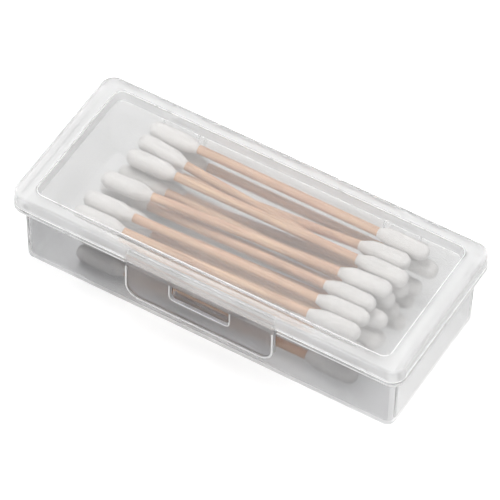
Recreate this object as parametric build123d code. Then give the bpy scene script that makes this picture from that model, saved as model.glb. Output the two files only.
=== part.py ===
from build123d import *
import math
import os

os.makedirs("parts", exist_ok=True)

# Millimetres. Origin at the middle of the tray's underside, +X along the long
# side, -Y towards the latch, +Z up.

# Outline of the closed box
LENGTH = 104.0
WIDTH = 44.3
PLAN_R = 3.6
HEIGHT = 23.5
FRONT = -WIDTH / 2
BACK = WIDTH / 2

# Tray
FLOOR = 1.0
WALL = 1.0
WALL_INSET = 2.2
FOOT_INSET = 2.45
TRAY_R = 2.4
FOOT_R = 1.3
RIM_TOP = 19.7
RIM_BOTTOM = 18.5
RIM_FLARE = 1.2
COLLAR_INSET = 1.35
COLLAR_T = 1.0
COLLAR_TOP = 21.3

# Lid
SEAT_GAP = 0.05
SKIRT_T = 1.1
SKIRT_DRAFT = 0.2
FRAME_T = 1.0
TOP_R = 0.7
RECESS_X = 5.0
RECESS_Y = 3.57
RECESS_R = 2.2
RECESS_DEPTH = 2.33
RECESS_TAPER = 0.5
PANEL_T = 1.0
PANEL_TOP = HEIGHT - RECESS_DEPTH
LID_BOTTOM = RIM_TOP + SEAT_GAP

# Latch flap, hung on a thin fold line at the front of the lid
FLAP_HALF = 19.75
FLAP_T = 1.0
FLAP_OUT = 0.45
FLAP_FRONT = FRONT - FLAP_OUT
FLAP_BACK = FLAP_FRONT + FLAP_T
FLAP_BOTTOM = 8.3
FLAP_CORNER_R = 3.8
FOLD_Y = -21.85
FOLD_Z = 18.95
FOLD_R = 0.25
BEAD_W = 0.55
BEAD_OUT = 0.25
WINDOW_HALF = 7.9
WINDOW_TOP = 18.2
WINDOW_BOTTOM = 13.5
WINDOW_R = 1.2

# Catch on the front of the tray
CATCH_HALF = 7.5
CATCH_BOTTOM = 13.8
CATCH_NOSE = 15.0
CATCH_TOP = 17.6
CATCH_BITE = 0.35
SHOULDER_HALF = 11.0

# Pin hinge along the back
HINGE_X = 30.0
HINGE_Y = 23.5
HINGE_Z = 18.3
PIN_R = 0.7
BORE_R = 0.78
KNUCKLE_R = 1.5
KNUCKLE_W = 7.0
EAR_R = 1.35
EAR_W = 1.8
EAR_GAP = KNUCKLE_W + 0.6

# Cotton swabs
SWAB_L = 75.0
STICK_R = 1.15
STICK_END = 1.5
BUD_R = 2.3
BUD_TIP_R = 1.3
BUD_L = 13.2
BUD_NECK_L = 3.4
BUD_TIP_L = 1.5
BUD_SPAN = 62.0  # between the middles of a swab's buds

# Heights of the swab axes in the four loose layers
LAYER_1 = 3.36
LAYER_2 = 8.0
LAYER_3 = 12.9
LAYER_4 = 17.62

# Each swab from the floor up: y of its left and right bud, z of its left and
# right bud, and shift along x
SWABS = [
    (-13.6, -12.8, LAYER_1, LAYER_1, -0.8),
    (-6.4, -6.8, LAYER_1, LAYER_1, 0.9),
    (0.2, -0.4, LAYER_1, LAYER_1, -0.8),
    (6.6, 6.2, LAYER_1, LAYER_1, 0.9),
    (13.2, 12.9, LAYER_1, LAYER_1, -0.6),
    (-12.0, -9.9, LAYER_2, LAYER_2, -1.2),
    (-4.6, -5.0, 7.84, 7.84, 0.6),
    (3.1, 5.0, LAYER_2, LAYER_2, -0.4),
    (8.3, 13.3, LAYER_2, LAYER_2 + 0.02, 0.9),
    (-5.75, -2.35, 12.5, 12.3, 0.4),
    (4.8, 3.8, LAYER_3, LAYER_3, -1.0),
    (16.5, 16.5, LAYER_3, LAYER_3, 3.2),
    (12.9, 11.89, 9.3, 17.15, -1.5),
    (11.65, 8.6, 17.35, LAYER_3, 0.2),
    (-0.9, -2.73, 12.75, 16.98, -2.4),
    (-9.3, -7.65, LAYER_4, LAYER_4, -1.5),
    (-14.25, -12.4, LAYER_4, LAYER_4, -1.2),
    (-1.95, 2.15, LAYER_4, LAYER_4, -1.2),
    (6.7, 7.12, LAYER_4, LAYER_4, 0.3),
    (16.55, 16.55, 17.8, 17.8, 0.6),
]


def plan(inset_x, inset_y, radius, z):
    """Rounded rectangle at height z, stepped in from the box outline."""
    shape = RectangleRounded(LENGTH - 2 * inset_x, WIDTH - 2 * inset_y, radius)
    return Pos(0, 0, z) * shape


def between(low, high):
    """Straight-sided solid from one rounded rectangle up to another."""
    return loft([low, high], ruled=True)


def block(x0, x1, y0, y1, z0, z1):
    """Box given by its limits."""
    size = Box(x1 - x0, y1 - y0, z1 - z0)
    return Pos((x0 + x1) / 2, (y0 + y1) / 2, (z0 + z1) / 2) * size


def side_profile(points, half_width, x=0.0):
    """Profile drawn in Y and Z, swept the same way to both sides of x."""
    face = make_face(Polyline(*points, close=True))
    return Pos(x, 0, 0) * extrude(Plane.YZ * face, half_width, both=True)


def disc_x(x, y, z, radius, width):
    """Round bar along X, centred on x."""
    return Pos(x, y, z) * Rot(0, 90, 0) * Cylinder(radius, width)


def tray_tub():
    """Open tub with a drafted wall and a rounded foot."""
    outer = between(
        plan(FOOT_INSET, FOOT_INSET, TRAY_R, 0),
        plan(WALL_INSET, WALL_INSET, TRAY_R, RIM_BOTTOM),
    )
    foot = outer.edges().group_by(Axis.Z)[0]
    outer = fillet(foot, FOOT_R)
    inner = between(
        plan(FOOT_INSET + WALL, FOOT_INSET + WALL, TRAY_R - WALL, FLOOR),
        plan(WALL_INSET + WALL, WALL_INSET + WALL, TRAY_R - WALL, RIM_TOP),
    )
    inner = fillet(inner.edges().group_by(Axis.Z)[0], 0.6)
    return outer, inner


def tray_rim():
    """Outward flange with a flared underside, and the collar the lid fits over."""
    rim = extrude(plan(0, 0, PLAN_R, RIM_BOTTOM), RIM_TOP - RIM_BOTTOM)
    rim = chamfer(rim.edges().group_by(Axis.Z)[0], 0.25)
    rim += between(
        plan(WALL_INSET, WALL_INSET, TRAY_R, RIM_BOTTOM - RIM_FLARE),
        plan(0.9, 0.9, PLAN_R - 0.9, RIM_BOTTOM),
    )
    collar_r = PLAN_R - COLLAR_INSET
    outer = plan(COLLAR_INSET, COLLAR_INSET, collar_r, RIM_TOP)
    inset = COLLAR_INSET + COLLAR_T
    inner = plan(inset, inset, collar_r - COLLAR_T, RIM_TOP)
    collar = extrude(outer - inner, COLLAR_TOP - RIM_TOP)
    collar = chamfer(collar.edges().group_by(Axis.Z)[-1], 0.25)
    return rim + collar


def catch():
    """Wedge that the flap's window drops over, with a rest bar behind the flap."""
    nose = FLAP_BACK - CATCH_BITE
    wall = FRONT + WALL_INSET + 0.3
    wedge = side_profile(
        [
            (wall, CATCH_TOP),
            (FLAP_BACK + 0.6, CATCH_TOP),
            (nose, CATCH_NOSE),
            (nose, CATCH_BOTTOM),
            (wall, CATCH_BOTTOM),
        ],
        CATCH_HALF,
    )
    corners = wedge.edges().filter_by(Axis.Y).group_by(Axis.Z)[0]
    wedge = fillet(corners, WINDOW_R - 0.3)
    bar = block(
        -SHOULDER_HALF, SHOULDER_HALF, FLAP_BACK + 0.3, wall, 16.5, 17.3
    )
    return wedge + bar


def hinge_ears():
    """Two pairs of ears with a fixed pin between each pair."""
    ears = Part()
    gusset = [
        (BACK - WALL_INSET - 0.3, RIM_TOP - 0.1),
        (HINGE_Y, RIM_TOP - 0.1),
        (HINGE_Y, HINGE_Z - EAR_R),
        (BACK - WALL_INSET - 0.3, 13.5),
    ]
    for station in (-HINGE_X, HINGE_X):
        for side in (-1, 1):
            x = station + side * (EAR_GAP + EAR_W) / 2
            ears += side_profile(gusset, EAR_W / 2, x)
            ears += disc_x(x, HINGE_Y, HINGE_Z, EAR_R, EAR_W)
        ears += disc_x(station, HINGE_Y, HINGE_Z, PIN_R, EAR_GAP + 0.4)
    return ears


def make_base():
    """The tray: one moulding with rim, collar, catch and hinge ears."""
    tub, hollow = tray_tub()
    rim = tray_rim()
    flap_room = block(
        -FLAP_HALF - 0.4, FLAP_HALF + 0.4, FRONT - 1, FRONT + 0.75, 16, RIM_TOP
    )
    rim -= flap_room
    for station in (-HINGE_X, HINGE_X):
        half = EAR_GAP / 2
        rim -= block(
            station - half, station + half, BACK - 0.35, BACK + 1, 16, RIM_TOP
        )
    return tub + rim + catch() + hinge_ears() - hollow


def recess(grow, z_low, z_high):
    """The sunken panel's hollow, or with grow the plastic round it."""
    def inset_at(z):
        return RECESS_TAPER * (HEIGHT - z) / RECESS_DEPTH - grow

    low = inset_at(z_low)
    high = inset_at(z_high)
    radius = RECESS_R + grow
    return between(
        plan(RECESS_X + low, RECESS_Y + low, radius, z_low),
        plan(RECESS_X + high, RECESS_Y + high, radius, z_high),
    )


def lid_shell():
    """Skirt, frame and sunken panel."""
    outer = between(
        plan(0, 0, PLAN_R, LID_BOTTOM),
        plan(SKIRT_DRAFT, SKIRT_DRAFT, PLAN_R - SKIRT_DRAFT, HEIGHT),
    )
    outer += front_pad()
    rim_edges = outer.edges().group_by(Axis.Z)[-1]
    outer = fillet(rim_edges, TOP_R)

    frame_under = HEIGHT - FRAME_T
    panel_under = PANEL_TOP - PANEL_T
    inside = between(
        plan(SKIRT_T, SKIRT_T, PLAN_R - SKIRT_T, LID_BOTTOM),
        plan(SKIRT_T + SKIRT_DRAFT, SKIRT_T + SKIRT_DRAFT, PLAN_R - 1.3, frame_under),
    )
    inside -= recess(WALL, panel_under, frame_under)
    sunk = recess(0, PANEL_TOP, HEIGHT)
    sunk = fillet(sunk.edges().group_by(Axis.Z)[0], 0.4)
    return outer - inside - sunk


def front_pad():
    """Raised field on the skirt above the flap, ending in the fold's groove."""
    low = FOLD_Z + 0.35
    return side_profile(
        [
            (FRONT + 0.6, HEIGHT),
            (FLAP_FRONT, HEIGHT),
            (FLAP_FRONT, LID_BOTTOM),
            (FLAP_FRONT + 0.6, low),
            (FRONT + 0.6, low),
        ],
        FLAP_HALF,
    )


def lid_knuckles():
    """Clips that snap over the tray's hinge pins."""
    knuckles = Part()
    arm = [
        (BACK - 0.6, 21.6),
        (BACK, 21.6),
        (HINGE_Y + 0.7, HINGE_Z + 1.33),
        (HINGE_Y, HINGE_Z),
        (BACK - 0.1, HINGE_Z),
        (BACK - 0.1, LID_BOTTOM),
        (BACK - 0.6, LID_BOTTOM),
    ]
    for station in (-HINGE_X, HINGE_X):
        knuckles += side_profile(arm, KNUCKLE_W / 2, station)
        knuckles += disc_x(station, HINGE_Y, HINGE_Z, KNUCKLE_R, KNUCKLE_W)
    return knuckles


def knuckle_bores():
    """Pin holes with their snap-in mouths facing down."""
    bores = Part()
    for station in (-HINGE_X, HINGE_X):
        bores += disc_x(station, HINGE_Y, HINGE_Z, BORE_R, KNUCKLE_W + 1)
        half = KNUCKLE_W / 2 + 0.5
        bores += block(
            station - half,
            station + half,
            HINGE_Y - 0.55,
            HINGE_Y + 0.55,
            HINGE_Z - 2,
            HINGE_Z,
        )
    return bores


def make_lid():
    """The lid: one moulding with skirt, sunken panel, front pad and knuckles."""
    return lid_shell() + lid_knuckles() - knuckle_bores()


def make_flap():
    """The flap: a plate with a beaded edge, a window and a rounded fold lobe."""
    side = side_profile(
        [
            (FOLD_Y + FOLD_R, FOLD_Z),
            (FOLD_Y, FOLD_Z),
            (FOLD_Y - FOLD_R, FOLD_Z),
            (FLAP_FRONT, FOLD_Z - 0.55),
            (FLAP_FRONT, FLAP_BOTTOM),
            (FLAP_BACK, FLAP_BOTTOM),
        ],
        FLAP_HALF,
    )
    lower = side.edges().filter_by(Axis.Y).group_by(Axis.Z)[0]
    plate = fillet(lower, FLAP_CORNER_R)
    plate += disc_x(0, FOLD_Y, FOLD_Z, FOLD_R, 2 * FLAP_HALF)
    plate += flap_bead()
    return plate - flap_window()


def flap_outline(half, bottom, radius):
    """The flap's outline as a face in the XZ plane, square at the top."""
    top = FOLD_Z - 0.75
    face = make_face(
        Polyline((-half, top), (-half, bottom), (half, bottom), (half, top), close=True)
    )
    corners = face.vertices().group_by(Axis.Y)[0]
    return fillet(corners, radius)


def flap_bead():
    """Low bead along the flap's sides and bottom."""
    outer = flap_outline(FLAP_HALF, FLAP_BOTTOM, FLAP_CORNER_R)
    inner = flap_outline(
        FLAP_HALF - BEAD_W, FLAP_BOTTOM + BEAD_W, FLAP_CORNER_R - BEAD_W
    )
    ring = Plane.XZ.offset(-FLAP_FRONT) * (outer - inner)
    bead = extrude(ring, BEAD_OUT)
    front = bead.edges().group_by(Axis.Y)[0]
    return chamfer(front, 0.12)


def flap_window():
    """Cutter for the window that drops over the catch."""
    opening = block(
        -WINDOW_HALF, WINDOW_HALF, FLAP_FRONT - 1, FLAP_BACK + 1, WINDOW_BOTTOM, WINDOW_TOP
    )
    corners = opening.edges().filter_by(Axis.Y).group_by(Axis.Z)[0]
    return fillet(corners, WINDOW_R)


def bud_profile():
    """Half section of one cotton bud from its neck to its tip, along Z."""
    depth = BUD_L - STICK_END
    return make_face(
        Polyline(
            (STICK_R, 0),
            (BUD_R, BUD_NECK_L),
            (BUD_R, BUD_L - BUD_TIP_L),
            (BUD_TIP_R, BUD_L),
            (0, BUD_L),
            (0, depth),
            (STICK_R, depth),
            close=True,
        )
    )


def swab_stick():
    """Wooden stick along X, ending inside both buds."""
    return Rot(0, 90, 0) * Cylinder(STICK_R, SWAB_L - 2 * STICK_END)


def swab_buds():
    """Both cotton buds of one swab along X."""
    bud = revolve(Plane.XZ * bud_profile(), Axis.Z)
    right = Pos(SWAB_L / 2 - BUD_L, 0, 0) * Rot(0, 90, 0) * bud
    left = Rot(0, 0, 180) * right
    return Compound([right.solid(), left.solid()])


def place_swab(shape, left_y, right_y, left_z, right_z, shift):
    """Turn and tilt a swab made along X and lay it in the box."""
    turn = math.degrees(math.atan2(right_y - left_y, BUD_SPAN))
    tilt = math.degrees(math.atan2(right_z - left_z, BUD_SPAN))
    middle = Pos(shift, (left_y + right_y) / 2, (left_z + right_z) / 2)
    return middle * Rot(0, 0, turn) * Rot(0, -tilt, 0) * shape


def main():
    """Write one STEP file per separate piece."""
    export_step(make_base(), "parts/base.step")
    export_step(make_lid(), "parts/lid.step")
    export_step(make_flap(), "parts/latch_flap.step")
    stick = swab_stick()
    buds = swab_buds()
    for number, place in enumerate(SWABS, start=1):
        name = f"parts/swab_{number:02d}"
        export_step(place_swab(stick, *place), f"{name}_stick.step")
        export_step(place_swab(buds, *place), f"{name}_buds.step")


main()
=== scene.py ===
"""Looks of the cotton swab holder: plastic, wood and cotton finishes, the swabs and the studio."""

import logging
import math
from collections.abc import Callable
from dataclasses import dataclass, field
from enum import Enum

import bmesh
import bpy
from mathutils import Matrix, Vector, noise


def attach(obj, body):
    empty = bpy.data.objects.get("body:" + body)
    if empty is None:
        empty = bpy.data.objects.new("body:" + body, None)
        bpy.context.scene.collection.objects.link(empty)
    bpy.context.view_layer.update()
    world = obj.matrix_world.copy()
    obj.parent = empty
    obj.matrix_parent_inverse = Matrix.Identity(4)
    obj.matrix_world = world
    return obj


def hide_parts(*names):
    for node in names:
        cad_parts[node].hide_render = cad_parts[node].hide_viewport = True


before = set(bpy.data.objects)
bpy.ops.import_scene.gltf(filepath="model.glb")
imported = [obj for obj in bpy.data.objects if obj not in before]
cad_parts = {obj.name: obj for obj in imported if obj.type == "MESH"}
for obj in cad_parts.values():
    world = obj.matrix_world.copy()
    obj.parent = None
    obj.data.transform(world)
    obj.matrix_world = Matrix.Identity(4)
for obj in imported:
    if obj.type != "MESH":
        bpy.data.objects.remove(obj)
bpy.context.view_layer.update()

MM = 0.001
SAME = 0.001 * MM  # nearer to each other than this, two points or coordinates count as one
LIGHT_BOUNCES = 20
CLEAR_BOUNCES = 24
LOG = logging.getLogger("swab_holder")


class Slot(Enum):
    """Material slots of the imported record."""

    PLASTIC = "translucent_plastic"
    WOOD = "stick_wood"
    COTTON = "cotton"


class Body(Enum):
    """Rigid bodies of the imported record."""

    TRAY = "tray"
    LID = "lid"
    FLAP = "flap"


class Zone(Enum):
    """Places of the mouldings that have their own plastic, with that material's name. The greyer
    plastic of the front wall and flap is painted shade, and the whiter plastic of the frame and
    pad is partly thicker plastic and partly painted light.
    """

    WALLS = "tray_plastic"
    RIM = "rim_plastic"
    FRONT = "front_plastic_painted_shade"
    PANEL = "panel_plastic"
    FRAME = "frame_plastic_thick_painted_light"
    PAD = "pad_plastic_thick_painted_light"
    FLAP = "flap_plastic_painted_shade"


def put_in_scene(name: str, data: bpy.types.ID) -> bpy.types.Object:
    """Makes an object of some data, at the origin, and links it to the scene."""
    made = bpy.data.objects.new(name, data)
    bpy.context.scene.collection.objects.link(made)
    return made


def keep_mesh(mesh: bmesh.types.BMesh, name: str) -> bpy.types.Mesh:
    """Turns a bmesh into mesh data and frees it.

    Args:
        mesh: The finished bmesh.
        name: Name of the data.

    Returns:
        The mesh data.
    """
    data = bpy.data.meshes.new(name)
    mesh.to_mesh(data)
    mesh.free()
    return data


def count_open_edges(mesh: bmesh.types.BMesh) -> int:
    """Counts the edges at which a mesh isn't closed."""
    return sum(1 for edge in mesh.edges if not edge.is_manifold)


@dataclass
class NodeBench:
    """Adds and joins the nodes of one shader tree.

    Args:
        tree: The node tree that the nodes go into.
    """

    tree: bpy.types.NodeTree

    def add(self, kind: str, **settings: object) -> bpy.types.Node:
        """Adds a node.

        Args:
            kind: Blender's name for the node, without the ShaderNode prefix.
            settings: Properties of the node, and inputs under their names.

        Returns:
            The new node.
        """
        node = self.tree.nodes.new(kind if kind.startswith("NodeGroup") else f"ShaderNode{kind}")
        for name, value in settings.items():
            if hasattr(node, name):
                setattr(node, name, value)
            else:
                node.inputs[name.replace("_", " ")].default_value = value
        return node

    def join(self, source: bpy.types.NodeSocket, target: bpy.types.NodeSocket) -> None:
        """Links one socket to another."""
        self.tree.links.new(source, target)

    def math(self, operation: str, first: object, second: object = None) -> bpy.types.NodeSocket:
        """Adds a Math node.

        Args:
            operation: The node's operation, such as MULTIPLY.
            first: A socket or a number.
            second: A socket or a number, where the operation takes two.

        Returns:
            The node's output.
        """
        node = self.add("Math", operation=operation)
        for value, socket in zip((first, second), node.inputs):
            if isinstance(value, bpy.types.NodeSocket):
                self.join(value, socket)
            elif value is not None:
                socket.default_value = value
        return node.outputs[0]

    def remap(
        self, value: bpy.types.NodeSocket, source: tuple[float, float], target: tuple[float, float]
    ) -> bpy.types.NodeSocket:
        """Adds a clamped Map Range node.

        Args:
            value: The socket to map.
            source: Low and high of the incoming range.
            target: Low and high of the outgoing range.

        Returns:
            The mapped value.
        """
        node = self.add("MapRange")
        self.join(value, node.inputs["Value"])
        node.inputs["From Min"].default_value = source[0]
        node.inputs["From Max"].default_value = source[1]
        node.inputs["To Min"].default_value = target[0]
        node.inputs["To Max"].default_value = target[1]
        return node.outputs["Result"]

    def blend(
        self, mask: bpy.types.NodeSocket, low: object, high: object
    ) -> bpy.types.NodeSocket:
        """Mixes two colours by a mask.

        Args:
            mask: 0 gives the first colour and 1 the second.
            low: A colour socket or an RGB tuple.
            high: A colour socket or an RGB tuple.

        Returns:
            The mixed colour.
        """
        node = self.add("Mix", data_type="RGBA")
        self.join(mask, node.inputs["Factor"])
        # The node has sockets for every kind of data: 6 and 7 take its colours, 2 gives its own.
        for value, socket in ((low, node.inputs[6]), (high, node.inputs[7])):
            if isinstance(value, bpy.types.NodeSocket):
                self.join(value, socket)
            else:
                socket.default_value = (*value, 1.0)
        return node.outputs[2]

    def bump(self, height: bpy.types.NodeSocket, strength: float, relief: float) -> None:
        """Adds a Bump node that shapes the surface by a mask.

        Args:
            height: The mask that gives the height.
            strength: Strength of the bump.
            relief: Its height in metres.
        """
        node = self.add("Bump", Strength=strength, Distance=relief)
        self.join(height, node.inputs["Height"])
        self.join(node.outputs[0], self.tree.nodes["Principled BSDF"].inputs["Normal"])


class EffectGroups:
    """Shader node groups that several finishes share, each built once."""

    def __init__(self) -> None:
        """Builds the groups."""
        self.mottle = self._mottle()

    @staticmethod
    def _new(
        name: str, inputs: list[tuple[str, str, float]], outputs: list[str]
    ) -> tuple[bpy.types.NodeTree, NodeBench, bpy.types.Node, bpy.types.Node]:
        """Starts a group.

        Args:
            name: The group's name.
            inputs: Socket name, kind and starting value of each input.
            outputs: Names of the value outputs.

        Returns:
            The group, its bench, its input node and its output node.
        """
        tree = bpy.data.node_groups.new(name, "ShaderNodeTree")
        for label, kind, value in inputs:
            socket = tree.interface.new_socket(label, in_out="INPUT", socket_type=kind)
            if kind == "NodeSocketFloat":
                socket.default_value = value
        for label in outputs:
            tree.interface.new_socket(label, in_out="OUTPUT", socket_type="NodeSocketFloat")
        bench = NodeBench(tree)
        entry = bench.add("NodeGroupInput")
        leave = bench.add("NodeGroupOutput")
        return tree, bench, entry, leave

    def _mottle(self) -> bpy.types.NodeTree:
        """Builds soft cloudy variation, with separate scales along and across X.

        Returns:
            The group.
        """
        tree, bench, entry, leave = self._new(
            "mottle",
            [
                ("Position", "NodeSocketVector", 0.0),
                ("Scale", "NodeSocketFloat", 300.0),
                ("Stretch", "NodeSocketFloat", 1.0),
                ("Detail", "NodeSocketFloat", 3.0),
            ],
            ["Mask"],
        )
        size = bench.add("CombineXYZ", Y=1.0, Z=1.0)
        bench.join(bench.math("DIVIDE", 1.0, entry.outputs["Stretch"]), size.inputs["X"])
        stretch = bench.add("VectorMath", operation="MULTIPLY")
        bench.join(entry.outputs["Position"], stretch.inputs[0])
        bench.join(size.outputs[0], stretch.inputs[1])
        cloud = bench.add("TexNoise", Roughness=0.55)
        bench.join(stretch.outputs[0], cloud.inputs["Vector"])
        bench.join(entry.outputs["Scale"], cloud.inputs["Scale"])
        bench.join(entry.outputs["Detail"], cloud.inputs["Detail"])
        mask = bench.remap(cloud.outputs[0], (0.3, 0.7), (0.0, 1.0))
        bench.join(mask, leave.inputs["Mask"])
        return tree

    def cloud(
        self, bench: NodeBench, scale: float, stretch: float = 1.0, detail: float = 3.0
    ) -> bpy.types.NodeSocket:
        """Places the cloudy variation in a material, fixed to the piece.

        Args:
            bench: The bench of the material.
            scale: How fine it is.
            stretch: How many times longer it is along X.
            detail: How much fine detail it has.

        Returns:
            Its mask, from 0 to 1.
        """
        place = bench.add("TexCoord")
        group = bench.add("Group", node_tree=self.mottle)
        group.inputs["Scale"].default_value = scale
        group.inputs["Stretch"].default_value = stretch
        group.inputs["Detail"].default_value = detail
        bench.join(place.outputs["Object"], group.inputs["Position"])
        return group.outputs["Mask"]


def start_material(name: str) -> tuple[bpy.types.Material, NodeBench, bpy.types.Node]:
    """Starts a material.

    Args:
        name: The material's name.

    Returns:
        The material, its bench and its shader.
    """
    material = bpy.data.materials.new(name)
    material.use_nodes = True
    shader = material.node_tree.nodes["Principled BSDF"]
    return material, NodeBench(material.node_tree), shader


@dataclass(frozen=True)
class PlasticFinish:
    """Milky see-through polypropylene.

    Args:
        zone: The place that it is for, whose value is the material's name.
        tint: Colour of the plastic, which holds painted shade or painted light in some zones.
        milk: Colour of its cloudier places, which likewise holds painted shade or painted light in
            some zones.
        transmission: Share of light let through.
        roughness: Low and high roughness.
        shade: Share of lamp light that each face of the plastic holds back.
        bend: Index of refraction, low because the walls are thin.
        coat: Strength of the gloss on top.
        coat_roughness: Roughness of that gloss.
        cloud_scale: How fine its cloudiness is.
    """

    zone: Zone
    tint: tuple[float, float, float] = (0.93, 0.93, 0.93)
    milk: tuple[float, float, float] = (0.97, 0.97, 0.97)
    transmission: float = 0.9
    roughness: tuple[float, float] = (0.04, 0.1)
    shade: float = 0.12
    bend: float = 1.15
    coat: float = 0.6
    coat_roughness: float = 0.06
    cloud_scale: float = 90.0

    def build(self, groups: EffectGroups) -> bpy.types.Material:
        """Builds the material.

        Args:
            groups: The shared effects.

        Returns:
            The finished material.
        """
        material, bench, shader = start_material(self.zone.value)
        mask = groups.cloud(bench, self.cloud_scale)
        bench.join(bench.blend(mask, self.tint, self.milk), shader.inputs["Base Color"])
        bench.join(bench.remap(mask, (0.0, 1.0), self.roughness), shader.inputs["Roughness"])
        shader.inputs["Transmission Weight"].default_value = self.transmission
        shader.inputs["IOR"].default_value = self.bend
        shader.inputs["Coat Weight"].default_value = self.coat
        shader.inputs["Coat Roughness"].default_value = self.coat_roughness
        path = bench.add("LightPath")
        solid = bench.remap(path.outputs["Is Shadow Ray"], (0.0, 1.0), (1.0, self.shade))
        bench.join(solid, shader.inputs["Alpha"])
        return material


@dataclass(frozen=True)
class PaintedHighlightFinish:
    """Painted highlight along the moulded edges, standing for the light that they throw back.

    Args:
        name: The material's name.
        bright: Colour of the painted highlight's clear stretches.
        dull: Colour of the duller stretches.
        mirror: How far it mirrors its surroundings.
        roughness: Low and high roughness.
        cloud_scale: How fine its duller stretches are.
    """

    name: str = "painted_edge_highlight"
    bright: tuple[float, float, float] = (1.0, 1.0, 1.0)
    dull: tuple[float, float, float] = (0.9, 0.9, 0.9)
    mirror: float = 0.4
    roughness: tuple[float, float] = (0.25, 0.4)
    cloud_scale: float = 260.0

    def build(self, groups: EffectGroups) -> bpy.types.Material:
        """Builds the material.

        Args:
            groups: The shared effects.

        Returns:
            The finished material.
        """
        material, bench, shader = start_material(self.name)
        mask = groups.cloud(bench, self.cloud_scale)
        bench.join(bench.blend(mask, self.dull, self.bright), shader.inputs["Base Color"])
        bench.join(bench.remap(mask, (0.0, 1.0), self.roughness), shader.inputs["Roughness"])
        shader.inputs["Metallic"].default_value = self.mirror
        return material


@dataclass(frozen=True)
class WoodFinish:
    """Bare birch with fine straight grain along X.

    Args:
        name: The material's name.
        pale: Colour of the early wood.
        dark: Colour of the late wood.
        blush: Warm colour of the places between.
        grain: Scale of the fine grain, and how many times longer it is along X.
        patch: Scale of the warm places, and how many times longer they are along X.
        grain_range: The part of the grain's mask that shows, from none to full.
        grain_share: Share of the dark colour in the grain, from none to full.
        roughness: Low and high roughness.
        relief: Strength of the grain's relief and its height in metres.
    """

    name: str = "birch_stick"
    pale: tuple[float, float, float] = (0.7, 0.47, 0.29)
    dark: tuple[float, float, float] = (0.36, 0.19, 0.11)
    blush: tuple[float, float, float] = (0.6, 0.34, 0.22)
    grain: tuple[float, float] = (2600.0, 40.0)
    patch: tuple[float, float] = (420.0, 8.0)
    grain_range: tuple[float, float] = (0.35, 1.0)
    grain_share: tuple[float, float] = (0.0, 0.6)
    roughness: tuple[float, float] = (0.5, 0.7)
    relief: tuple[float, float] = (0.3, 0.05 * MM)

    def build(self, groups: EffectGroups) -> bpy.types.Material:
        """Builds the material.

        Args:
            groups: The shared effects.

        Returns:
            The finished material.
        """
        material, bench, shader = start_material(self.name)
        fine = groups.cloud(bench, *self.grain)
        broad = groups.cloud(bench, *self.patch)
        body = bench.blend(broad, self.pale, self.blush)
        grain = bench.remap(fine, self.grain_range, self.grain_share)
        bench.join(bench.blend(grain, body, self.dark), shader.inputs["Base Color"])
        bench.join(bench.remap(fine, (0.0, 1.0), self.roughness), shader.inputs["Roughness"])
        bench.bump(fine, *self.relief)
        return material


@dataclass(frozen=True)
class CottonFinish:
    """Wound cotton wool.

    Args:
        name: The material's name.
        light: Colour of the raised fibres.
        crevice_shade: Colour between them, darker where the relief sinks, which is painted shade.
        fibre: Scale of the fibres, how many times longer they are along X, and their detail.
        roughness: Roughness of the fibres.
        sheen: Strength of the soft light at their edge.
        relief: Strength of the fibres' relief and its height in metres.
    """

    name: str = "cotton_wool"
    light: tuple[float, float, float] = (0.75, 0.73, 0.715)
    crevice_shade: tuple[float, float, float] = (0.66, 0.64, 0.625)
    fibre: tuple[float, float, float] = (1500.0, 2.5, 5.0)
    roughness: float = 0.95
    sheen: float = 0.4
    relief: tuple[float, float] = (0.4, 0.12 * MM)

    def build(self, groups: EffectGroups) -> bpy.types.Material:
        """Builds the material.

        Args:
            groups: The shared effects.

        Returns:
            The finished material.
        """
        material, bench, shader = start_material(self.name)
        mask = groups.cloud(bench, *self.fibre)
        # Where the relief sinks between the fibres the colour is darker: painted shade.
        bench.join(bench.blend(mask, self.crevice_shade, self.light), shader.inputs["Base Color"])
        shader.inputs["Roughness"].default_value = self.roughness
        shader.inputs["Sheen Weight"].default_value = self.sheen
        bench.bump(mask, *self.relief)
        return material


# Tints that paint shade on the flap and the front wall, and whites that are partly thicker plastic
# and partly painted light on the frame and pad.
FLAP_SHADE_TINT, FLAP_SHADE_MILK = (0.66, 0.66, 0.67), (0.74, 0.74, 0.75)
FRONT_SHADE_TINT, FRONT_SHADE_MILK = (0.6, 0.6, 0.61), (0.7, 0.7, 0.71)
THICK_AND_LIT_TINT, THICK_AND_LIT_MILK = (0.98, 0.98, 0.98), (1.0, 1.0, 1.0)

PLASTICS = (
    PlasticFinish(Zone.WALLS, roughness=(0.1, 0.2)),
    PlasticFinish(Zone.RIM, transmission=0.85, roughness=(0.12, 0.2)),
    # Front wall: its darker grey tint and milk are painted shade, standing for the shaded inside
    # seen through it.
    PlasticFinish(
        Zone.FRONT, tint=FRONT_SHADE_TINT, milk=FRONT_SHADE_MILK, transmission=0.95, roughness=(0.08, 0.14),
        shade=0.3,
    ),
    PlasticFinish(Zone.PANEL, transmission=0.88, roughness=(0.15, 0.24)),
    # Frame and pad: their whiter, cloudier plastic is partly thicker plastic and partly painted
    # light.
    PlasticFinish(
        Zone.FRAME, tint=THICK_AND_LIT_TINT, milk=THICK_AND_LIT_MILK, transmission=0.7, roughness=(0.12, 0.2),
        shade=0.07,
    ),
    PlasticFinish(
        Zone.PAD, tint=THICK_AND_LIT_TINT, milk=THICK_AND_LIT_MILK, transmission=0.8, roughness=(0.15, 0.25),
        shade=0.07,
    ),
    # Flap: its grey tint and milk are painted shade, standing for the shaded inside seen through
    # it.
    PlasticFinish(
        Zone.FLAP, tint=FLAP_SHADE_TINT, milk=FLAP_SHADE_MILK, transmission=0.96, roughness=(0.3, 0.4), shade=0.3
    ),
)


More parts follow.
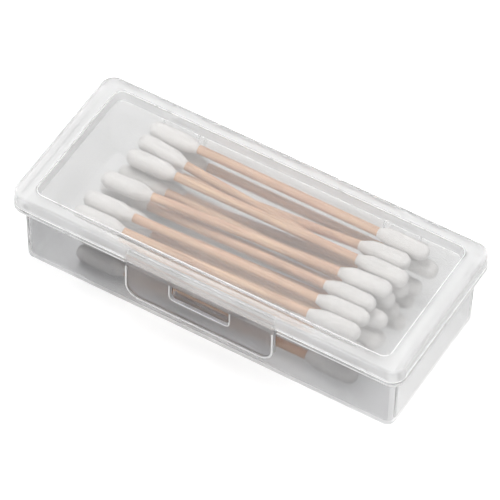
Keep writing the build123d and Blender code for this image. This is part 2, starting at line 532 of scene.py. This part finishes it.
@dataclass
class Finishes:
    """Every material of the object, built once."""

    groups: EffectGroups = field(default_factory=EffectGroups)

    def __post_init__(self) -> None:
        """Builds the materials."""
        self.plastics = {finish.zone: finish.build(self.groups) for finish in PLASTICS}
        # The painted highlight on the white lines along the edges.
        self.edge = PaintedHighlightFinish().build(self.groups)
        self.wood = WoodFinish().build(self.groups)
        self.cotton = CottonFinish().build(self.groups)


@dataclass
class PlasticCase:
    """The tray, lid and flap, which keep their CAD shapes and get their finishes zone by zone,
    with painted shade on the front wall and flap and partly painted light on the frame and pad.

    Args:
        finishes: The materials.
        rim_low: Height in metres from which the tray is its thick rim.
        front_wall: How far forward the front wall's plastic starts, in metres.
        foot_top: Height in metres below which the wall is the tray's rounded foot.
        panel_half: Half length and half width of the lid's sunken panel in metres.
        panel_top: Height in metres up to which the lid is its sunken panel.
        flap_half: Half the flap's length in metres.
    """

    finishes: Finishes
    rim_low: float = 17.2 * MM
    front_wall: float = 18.6 * MM
    foot_top: float = 1.5 * MM
    panel_half: tuple[float, float] = (46.8 * MM, 18.4 * MM)
    panel_top: float = 21.3 * MM
    flap_half: float = 19.8 * MM

    def dress(self) -> None:
        """Dresses the three mouldings."""
        tray_zones = [Zone.WALLS, Zone.RIM, Zone.FRONT]
        self._dress("base", Body.TRAY, tray_zones, self._tray_zone)
        self._dress("lid", Body.LID, [Zone.PANEL, Zone.FRAME, Zone.PAD], self._lid_zone)
        self._dress("latch_flap", Body.FLAP, [Zone.FLAP], self._flap_zone)

    def _tray_zone(self, middle: Vector) -> Zone:
        """Tells wall, rim and front wall apart.

        Args:
            middle: The middle of a face.

        Returns:
            The face's zone.
        """
        if middle.z > self.rim_low:
            return Zone.RIM
        in_front = middle.y < -self.front_wall and middle.z > self.foot_top
        return Zone.FRONT if in_front else Zone.WALLS

    def _lid_zone(self, middle: Vector) -> Zone:
        """Tells panel, frame and the field above the flap apart.

        Args:
            middle: The middle of a face.

        Returns:
            The face's zone.
        """
        length, width = self.panel_half
        if middle.z < self.panel_top and abs(middle.x) < length and abs(middle.y) < width:
            return Zone.PANEL
        above_flap = abs(middle.x) < self.flap_half and middle.y < -width
        return Zone.PAD if above_flap else Zone.FRAME

    @staticmethod
    def _flap_zone(middle: Vector) -> Zone:
        """Gives the flap's only zone, wherever the middle of a face is."""
        return Zone.FLAP

    def _dress(
        self, node: str, body: Body, zones: list[Zone], pick: Callable[[Vector], Zone]
    ) -> None:
        """Puts a dressed copy in a moulding's place.

        The copy's loose triangles are merged, and its corners keep the normals they had.

        Args:
            node: The moulding's CAD node.
            body: The body it rides on.
            zones: Every zone that it has.
            pick: Gives the zone of a face from its middle.
        """
        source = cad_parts[node].data.copy()
        kept = source.attributes.new("kept_normal", "FLOAT_VECTOR", "CORNER")
        for corner, normal in zip(kept.data, source.corner_normals):
            corner.vector = normal.vector
        mesh = bmesh.new()
        mesh.from_mesh(source)
        bmesh.ops.remove_doubles(mesh, verts=mesh.verts, dist=SAME)
        for face in mesh.faces:
            face.material_index = zones.index(pick(face.calc_center_median()))
        open_edges = count_open_edges(mesh)
        data = keep_mesh(mesh, f"{node}_dressed_mesh")
        kept = data.attributes["kept_normal"]
        data.normals_split_custom_set([tuple(corner.vector) for corner in kept.data])
        data.attributes.remove(data.attributes["kept_normal"])
        bpy.data.meshes.remove(source)
        for zone in zones:
            data.materials.append(self.finishes.plastics[zone])
        piece = put_in_scene(f"{node}_dressed", data)
        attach(piece, body.value)
        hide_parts(node)
        LOG.info("dressed %s, open edges %d", node, open_edges)


@dataclass(frozen=True)
class BoxHighlight:
    """A painted highlight line that follows the outline of the box, in millimetres.

    Args:
        name: The piece's name.
        body: The body it rides on.
        inset: How far in from the box's outline it lies, along X and along Y.
        heights: Its lowest and highest z.
        width: How far in it reaches.
        cut: Whether it stops on both sides of the flap.
    """

    name: str
    body: Body
    inset: tuple[float, float]
    heights: tuple[float, float]
    width: float
    cut: bool = False


@dataclass(frozen=True)
class FlapHighlight:
    """A painted highlight line that stands in the flap, in millimetres.

    Args:
        name: The piece's name.
        half: Half its length.
        low: Lowest z of its outline.
        high: Highest z of its outline.
        corner: Radius of its lower corners.
        front: Its front along Y.
        width: How wide it is.
        top: Height above which it is cut off.
    """

    name: str
    half: float
    low: float
    high: float
    corner: float
    front: float
    width: float
    top: float


# Painted highlights: white lines on the rim, the seam and the sunken panel's edge.
BOX_HIGHLIGHTS = (
    BoxHighlight("rim_highlight", Body.TRAY, (-0.04, -0.04), (18.62, 18.86), width=0.3, cut=True),
    BoxHighlight("seam_highlight", Body.LID, (-0.04, -0.04), (19.76, 20.02), width=0.3, cut=True),
    BoxHighlight("recess_highlight", Body.LID, (4.76, 3.33), (23.3, 23.53), width=0.22),
)
# Painted highlights round the flap and its window.
FLAP_HIGHLIGHTS = (
    FlapHighlight("flap_highlight", 19.76, 8.29, 30.0, corner=3.81, front=-22.9, width=0.45, top=18.2),
    FlapHighlight("window_highlight", 8.2, 13.2, 19.5, corner=1.5, front=-22.63, width=0.28, top=18.1),
)


@dataclass
class PaintedEdgeHighlights:
    """Thin white pieces along the moulded edges that paint the highlights where the plastic throws
    back the light.

    Args:
        finishes: The materials.
        outline: Length and width of the box in metres.
        corner: Radius of the box's corners in metres.
        least_corner: Smallest radius of a line round the box in metres.
        corner_steps: Number of flats in each corner.
        flap_half: Half the length of the cut-out for the flap in metres.
        flap_depth: How deep the flap's lines are in metres.
    """

    finishes: Finishes
    outline: tuple[float, float] = (104.0 * MM, 44.3 * MM)
    corner: float = 3.6 * MM
    least_corner: float = 2.4 * MM
    corner_steps: int = 8
    flap_half: float = 20.3 * MM
    flap_depth: float = 0.16 * MM

    def build(self) -> None:
        """Builds every painted highlight line."""
        for line in BOX_HIGHLIGHTS:
            self._box_line(line)
        for line in FLAP_HIGHLIGHTS:
            self._flap_line(line)

    def _band(
        self, size: tuple[float, float, float], corners: tuple[float, float]
    ) -> bmesh.types.BMesh:
        """Makes a thin upright band round a rounded rectangle.

        Args:
            size: Length along X and Y and height of the band, in metres.
            corners: Radii of the corners at low Y and at high Y, in metres.

        Returns:
            The band about the origin, with no thickness yet.
        """
        mesh = bmesh.new()
        bmesh.ops.create_cube(mesh, size=1.0)
        bmesh.ops.scale(mesh, vec=size, verts=mesh.verts)
        for side, radius in zip((-1, 1), corners):
            ends = [
                e for e in mesh.edges
                if e.verts[0].co.y * side > 0 and e.verts[1].co.y * side > 0
                and abs(e.verts[0].co.x - e.verts[1].co.x) < SAME
            ]
            if radius > 0:
                bmesh.ops.bevel(
                    mesh, geom=ends, offset=radius, segments=self.corner_steps, profile=0.5,
                    affect="EDGES", material=-1,
                )
        mesh.normal_update()
        caps = [f for f in mesh.faces if abs(f.normal.z) > 0.5]
        bmesh.ops.delete(mesh, geom=caps, context="FACES")
        return mesh

    def _cut_front(self, mesh: bmesh.types.BMesh) -> None:
        """Takes the front stretch out of a band, where the flap hangs.

        Args:
            mesh: The band.
        """
        for side in (-1, 1):
            bmesh.ops.bisect_plane(
                mesh, geom=mesh.verts[:] + mesh.edges[:] + mesh.faces[:],
                plane_co=(side * self.flap_half, 0, 0), plane_no=(1, 0, 0),
            )
        gone = [
            f for f in mesh.faces
            if abs(f.calc_center_median().x) < self.flap_half and f.calc_center_median().y < 0
        ]
        bmesh.ops.delete(mesh, geom=gone, context="FACES")

    def _box_line(self, line: BoxHighlight) -> None:
        """Builds a painted highlight line that follows the outline of the box.

        Args:
            line: Its sizes.
        """
        low, high = line.heights
        size = [o - 2 * i * MM for o, i in zip(self.outline, line.inset)]
        radius = max(self.corner - line.inset[1] * MM, self.least_corner)
        mesh = self._band((*size, (high - low) * MM), (radius, radius))
        if line.cut:
            self._cut_front(mesh)
        bmesh.ops.solidify(mesh, geom=mesh.faces[:], thickness=line.width * MM)
        bmesh.ops.translate(mesh, vec=(0, 0, (low + high) / 2 * MM), verts=mesh.verts)
        self._finish(mesh, line.name, line.body)

    def _flap_line(self, line: FlapHighlight) -> None:
        """Builds a painted highlight line that stands in the flap.

        Args:
            line: Its sizes.
        """
        middle = (line.high + line.low) / 2
        size = (2 * line.half * MM, (line.high - line.low) * MM, self.flap_depth)
        mesh = self._band(size, (line.corner * MM, 0.0))
        bmesh.ops.bisect_plane(
            mesh, geom=mesh.verts[:] + mesh.edges[:] + mesh.faces[:],
            plane_co=(0, (line.top - middle) * MM, 0), plane_no=(0, 1, 0), clear_outer=True,
        )
        bmesh.ops.solidify(mesh, geom=mesh.faces[:], thickness=line.width * MM)
        turn = Matrix.Rotation(math.pi / 2, 4, "X")
        place = Matrix.Translation((0, line.front * MM + self.flap_depth / 2, middle * MM))
        bmesh.ops.transform(mesh, matrix=place @ turn, verts=mesh.verts)
        self._finish(mesh, line.name, Body.FLAP)

    def _finish(self, mesh: bmesh.types.BMesh, name: str, body: Body) -> None:
        """Turns a bmesh into a piece that rides on a body.

        Args:
            mesh: The line in its place.
            name: The piece's name.
            body: The body it rides on.
        """
        bmesh.ops.recalc_face_normals(mesh, faces=mesh.faces)
        open_edges = count_open_edges(mesh)
        data = keep_mesh(mesh, f"{name}_mesh")
        piece = put_in_scene(name, data)
        data.materials.append(self.finishes.edge)
        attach(piece, body.value)
        LOG.info("built %s, open edges %d", name, open_edges)


@dataclass
class CottonSwab:
    """One swab: a wooden stick with a cotton bud wound on each end.

    Args:
        number: The swab's number in the CAD nodes.
        finishes: The materials.
        reach: From the swab's middle to the tip of a bud, in metres.
        stick_radius: Radius of the stick in metres.
        stick_sides: Number of flats round the stick.
        stick_rings: Number of cuts along the stick.
        end_gap: How much shorter the stick is than its CAD node, in metres.
        end_bevel: Size of the softened edge at its ends, in metres.
        bud_radius: Radius of the cotton in metres.
        bud_length: Length of each bud in metres.
        bud_sides: Number of flats round a bud.
    """

    number: int
    finishes: Finishes
    reach: float = 37.5 * MM
    stick_radius: float = 1.15 * MM
    stick_sides: int = 20
    stick_rings: int = 40
    end_gap: float = 0.1 * MM
    end_bevel: float = 0.15 * MM
    bud_radius: float = 2.25 * MM
    bud_length: float = 13.2 * MM
    bud_sides: int = 36

    @property
    def name(self) -> str:
        """The swab's part of its nodes' names."""
        return f"swab_{self.number:02d}"

    def axis(self) -> tuple[Vector, Vector]:
        """Finds the ends of the stick.

        Returns:
            The middle of the stick's left end and of its right end.
        """
        corners = [v.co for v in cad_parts[f"{self.name}_stick"].data.vertices]
        middle = sum(c.x for c in corners) / len(corners)
        ends = []
        for side in (-1, 1):
            half = [c for c in corners if side * (c.x - middle) > 0]
            ends.append(sum(half, Vector()) / len(half))
        return ends[0], ends[1]

    def placing(self) -> Matrix:
        """Works out where the swab lies.

        Returns:
            The turn and shift from a swab along X about the origin to this one's place.
        """
        left, right = self.axis()
        along = (right - left).normalized()
        side = Vector((0, 0, 1)).cross(along).normalized()
        up = along.cross(side)
        turn = Matrix((along, side, up)).transposed().to_4x4()
        return Matrix.Translation((left + right) / 2) @ turn

    def build(self) -> None:
        """Builds the stick and the buds."""
        left, right = self.axis()
        self._stick((right - left).length - self.end_gap)
        self._buds()

    def _finish(
        self, mesh: bmesh.types.BMesh, part: str, material: bpy.types.Material, slot: Slot
    ) -> None:
        """Turns a bmesh into a piece that stands for its CAD node.

        Args:
            mesh: The piece along X about the origin.
            part: Last word of the piece's name.
            material: Its finish.
            slot: Its material slot in the record; not used.
        """
        bmesh.ops.transform(mesh, matrix=self.placing(), verts=mesh.verts)
        data = keep_mesh(mesh, f"{self.name}_{part}_mesh")
        data.shade_smooth()
        piece = put_in_scene(f"{self.name}_{part}_dressed", data)
        data.materials.append(material)
        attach(piece, Body.TRAY.value)
        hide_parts(f"{self.name}_{part}")

    def _stick(self, length: float) -> None:
        """Builds the stick with softened ends and a faintly uneven surface.

        Args:
            length: The stick's length in metres.
        """
        mesh = bmesh.new()
        turn = Matrix.Rotation(math.pi / 2, 4, "Y")
        bmesh.ops.create_cone(
            mesh, cap_ends=True, segments=self.stick_sides, radius1=self.stick_radius,
            radius2=self.stick_radius, depth=length, matrix=turn,
        )
        rims = [e for e in mesh.edges if abs(e.verts[0].co.x - e.verts[1].co.x) < SAME]
        bmesh.ops.bevel(
            mesh, geom=rims, offset=self.end_bevel, segments=2, profile=0.5,
            affect="EDGES", material=-1,
        )
        sides = [e for e in mesh.edges if abs(e.verts[0].co.x - e.verts[1].co.x) > 0.5 * length]
        bmesh.ops.subdivide_edges(mesh, edges=sides, cuts=self.stick_rings, use_grid_fill=True)
        along, across, apart = 60, 900, 7  # scales of the unevenness, and its shift per swab
        depth = 0.03  # share of the radius
        for vertex in mesh.verts:
            x, y, z = vertex.co
            place = Vector((x * along, y * across, z * across + self.number * apart))
            swell = 1 - depth * (noise.noise(place) + 0.5)
            vertex.co.y *= swell
            vertex.co.z *= swell
        self._finish(mesh, "stick", self.finishes.wood, Slot.WOOD)

    def _bud_outline(self) -> list[tuple[float, float]]:
        """Works out the bud's half outline.

        Returns:
            Distance along X from the neck, and radius, of each point short of the tip.
        """
        length, radius, thin = self.bud_length, self.bud_radius, self.stick_radius
        neck, belly, shoulder, dome = 0.3, 0.5, 0.68, 0.2  # shares of the length
        neck_steps, dome_steps = 6, 7
        points = [(0.0, thin)]
        for step in range(1, neck_steps + 1):
            share = step / neck_steps
            rise = math.sin(share * math.pi / 2) ** 1.3
            points.append((share * neck * length, thin + (radius - thin) * rise))
        points.append((belly * length, radius * 1.01))
        points.append((shoulder * length, radius))
        for step in range(1, dome_steps):
            turn = step / dome_steps * math.pi / 2
            back = dome * length * (1 - math.sin(turn))
            points.append((length - back, radius * math.cos(turn) ** 0.8))
        return points

    def _buds(self) -> None:
        """Builds both buds by spinning the outline, and winds faint ridges round them."""
        mesh = bmesh.new()
        for side in (-1, 1):
            start = Matrix.Rotation(0 if side > 0 else math.pi, 4, "Z") @ Matrix.Translation(
                (self.reach - self.bud_length, 0, 0)
            )
            outline = self._bud_outline()
            made = [mesh.verts.new(start @ Vector((x, 0, r))) for x, r in outline]
            tip = mesh.verts.new(start @ Vector((self.bud_length, 0, 0)))
            made.append(tip)
            edges = [mesh.edges.new(pair) for pair in zip(made, made[1:])]
            bmesh.ops.spin(
                mesh, geom=made + edges, cent=(0, 0, 0), axis=(1, 0, 0),
                angle=2 * math.pi, steps=self.bud_sides, use_merge=True,
            )
        bmesh.ops.remove_doubles(mesh, verts=mesh.verts, dist=2 * SAME)
        bmesh.ops.holes_fill(mesh, edges=[e for e in mesh.edges if e.is_boundary], sides=0)
        bmesh.ops.recalc_face_normals(mesh, faces=mesh.faces)
        self._ruffle(mesh)
        self._finish(mesh, "buds", self.finishes.cotton, Slot.COTTON)

    def _ruffle(self, mesh: bmesh.types.BMesh) -> None:
        """Moves the cotton's surface in soft wound ridges and lumps.

        Args:
            mesh: The buds along X about the origin.
        """
        starts, pitch = 2, 2.1  # ridges side by side, and radians that they turn in a millimetre
        lump_scale, apart = 700, 3.1  # scale of the lumps, and their shift per swab
        ridge_height, lump_height, sink = 0.012, 0.04, 0.02  # shares of the radius
        for vertex in mesh.verts:
            reach = math.hypot(vertex.co.y, vertex.co.z)
            if reach < self.stick_radius * 1.02:
                continue
            angle = math.atan2(vertex.co.z, vertex.co.y)
            ridge = math.sin(angle * starts + vertex.co.x / MM * pitch + self.number)
            lump = noise.noise(vertex.co * lump_scale + Vector((self.number * apart, 0, 0)))
            swell = 1 + ridge_height * ridge + lump_height * lump - sink
            vertex.co.y *= swell
            vertex.co.z *= swell


@dataclass
class SwabPile:
    """All the swabs in the box.

    Args:
        finishes: The materials.
    """

    finishes: Finishes

    def build(self) -> None:
        """Builds each swab that the CAD frame holds."""
        count = sum(1 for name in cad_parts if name.endswith("_stick"))
        for number in range(1, count + 1):
            CottonSwab(number, self.finishes).build()
            LOG.info("built swab %d", number)


@dataclass(frozen=True)
class Viewpoint:
    """The camera at the photograph's angle.

    Args:
        azimuth: Degrees round from straight in front towards +X.
        elevation: Degrees up from level.
        roll: Degrees that the camera leans.
        location: The camera's place in metres.
        lens: Focal length in millimetres.
        sensor: Width of the sensor in millimetres.
        clip: Nearest and farthest distance that it sees, in metres.
    """

    azimuth: float = 29.685
    elevation: float = 50.294
    roll: float = 1.376
    location: tuple[float, float, float] = (0.341003, -0.597897, 0.841773)
    lens: float = 334.385
    sensor: float = 36.0
    clip: tuple[float, float] = (0.05, 20.0)

    def build(self) -> bpy.types.Object:
        """Makes the camera the scene's own.

        Returns:
            The camera.
        """
        turn = math.radians(self.azimuth)
        lift = math.radians(self.elevation)
        lean = math.radians(self.roll)
        flat = math.cos(lift)
        back = Vector((math.sin(turn) * flat, -math.cos(turn) * flat, math.sin(lift)))
        level = Vector((math.cos(turn), math.sin(turn), 0))
        rise = back.cross(level)
        right = level * math.cos(lean) + rise * math.sin(lean)
        up = rise * math.cos(lean) - level * math.sin(lean)
        data = bpy.data.cameras.new("photo_camera")
        data.lens = self.lens
        data.sensor_width = self.sensor
        data.clip_start, data.clip_end = self.clip
        camera = put_in_scene("photo_camera", data)
        frame_turn = Matrix((right, up, back)).transposed().to_4x4()
        camera.matrix_world = Matrix.Translation(self.location) @ frame_turn
        bpy.context.scene.camera = camera
        return camera


@dataclass(frozen=True)
class SoftLamp:
    """A square soft lamp aimed at the object.

    Args:
        name: The lamp's name.
        place: Where it hangs, in metres.
        size: Its side in metres.
        power: Its power in watts.
    """

    name: str
    place: tuple[float, float, float]
    size: float
    power: float

    def build(self) -> None:
        """Hangs the lamp."""
        data = bpy.data.lights.new(self.name, "AREA")
        data.size = self.size
        data.energy = self.power
        lamp = put_in_scene(self.name, data)
        lamp.location = self.place
        lamp.rotation_euler = Vector(self.place).to_track_quat("Z", "Y").to_euler()


@dataclass
class Studio:
    """Pale floor, soft lamps and an even world.

    Args:
        floor_size: Side of the floor in metres.
        floor_colour: Colour of the floor.
        floor_seen: White added to the floor where the camera sees it straight.
        floor_through: White added to it where it shows in or through the plastic.
        world_strength: Strength of the even light on the object.
        lamps: The lamps.
    """

    floor_size: float = 6.0
    floor_colour: tuple[float, float, float, float] = (0.82, 0.82, 0.82, 1.0)
    floor_seen: float = 0.5
    floor_through: float = 0.16
    world_strength: float = 0.14
    lamps: tuple[SoftLamp, ...] = (
        SoftLamp("key_lamp", (-0.25, 0.12, 1.2), size=0.7, power=7.5),
        SoftLamp("side_lamp", (0.95, 0.35, 0.85), size=0.8, power=4.0),
        SoftLamp("front_lamp", (0.15, -1.0, 0.4), size=0.8, power=4.0),
    )

    def build(self) -> None:
        """Builds the floor, the world and the lamps."""
        self._floor()
        self._world()
        for lamp in self.lamps:
            lamp.build()
        LOG.info("built studio")

    def _floor(self) -> None:
        """Makes the floor, which the camera sees as white under the object's shadow."""
        mesh = bmesh.new()
        bmesh.ops.create_grid(mesh, x_segments=1, y_segments=1, size=self.floor_size / 2)
        data = keep_mesh(mesh, "studio_floor_mesh")
        floor = put_in_scene("studio_floor", data)
        material = bpy.data.materials.new("studio_floor")
        material.use_nodes = True
        tree = material.node_tree
        tree.nodes.clear()
        bench = NodeBench(tree)
        paint = bench.add("BsdfDiffuse", Color=self.floor_colour)
        glow = bench.add("Emission", Color=(1.0, 1.0, 1.0, 1.0))
        both = bench.add("AddShader")
        bench.join(paint.outputs[0], both.inputs[0])
        bench.join(glow.outputs[0], both.inputs[1])
        through = bench.math("MULTIPLY", self._seen(bench), self.floor_through)
        path = bench.add("LightPath")
        plain = bench.math("MULTIPLY", path.outputs["Is Camera Ray"], self.floor_seen)
        bench.join(bench.math("MAXIMUM", through, plain), glow.inputs["Strength"])
        out = bench.add("OutputMaterial")
        bench.join(both.outputs[0], out.inputs["Surface"])
        data.materials.append(material)

    def _world(self) -> None:
        """Makes the even light all round, and white where it is seen."""
        world = bpy.data.worlds.new("studio_world")
        bpy.context.scene.world = world
        world.use_nodes = True
        tree = world.node_tree
        tree.nodes.clear()
        bench = NodeBench(tree)
        even = bench.add("Background", Color=(1.0, 1.0, 1.0, 1.0), Strength=self.world_strength)
        white = bench.add("Background", Color=(1.0, 1.0, 1.0, 1.0), Strength=1.0)
        pick = bench.add("MixShader")
        bench.join(self._seen(bench), pick.inputs[0])
        bench.join(even.outputs[0], pick.inputs[1])
        bench.join(white.outputs[0], pick.inputs[2])
        out = bench.add("OutputWorld")
        bench.join(pick.outputs[0], out.inputs["Surface"])

    @staticmethod
    def _seen(bench: NodeBench) -> bpy.types.NodeSocket:
        """Marks rays that show the background, straight or through the plastic.

        Args:
            bench: The bench of the background's nodes.

        Returns:
            1 for a ray that has met no matt surface yet, and 0 for light on the object.
        """
        path = bench.add("LightPath")
        seen = bench.math("MAXIMUM", path.outputs["Is Camera Ray"], path.outputs["Is Glossy Ray"])
        seen = bench.math("MAXIMUM", seen, path.outputs["Is Transmission Ray"])
        clear = bench.math("LESS_THAN", path.outputs["Diffuse Depth"], 0.5)
        return bench.math("MULTIPLY", seen, clear)


def main() -> None:
    """Builds the dressed object and its studio in order."""
    logging.basicConfig(level=logging.INFO)
    scene = bpy.context.scene
    scene.view_settings.view_transform = "Standard"
    scene.cycles.max_bounces = LIGHT_BOUNCES
    scene.cycles.transmission_bounces = LIGHT_BOUNCES
    scene.cycles.transparent_max_bounces = CLEAR_BOUNCES
    finishes = Finishes()
    PlasticCase(finishes).dress()
    PaintedEdgeHighlights(finishes).build()
    SwabPile(finishes).build()
    Viewpoint().build()
    Studio().build()


if __name__ == "__main__":
    main()
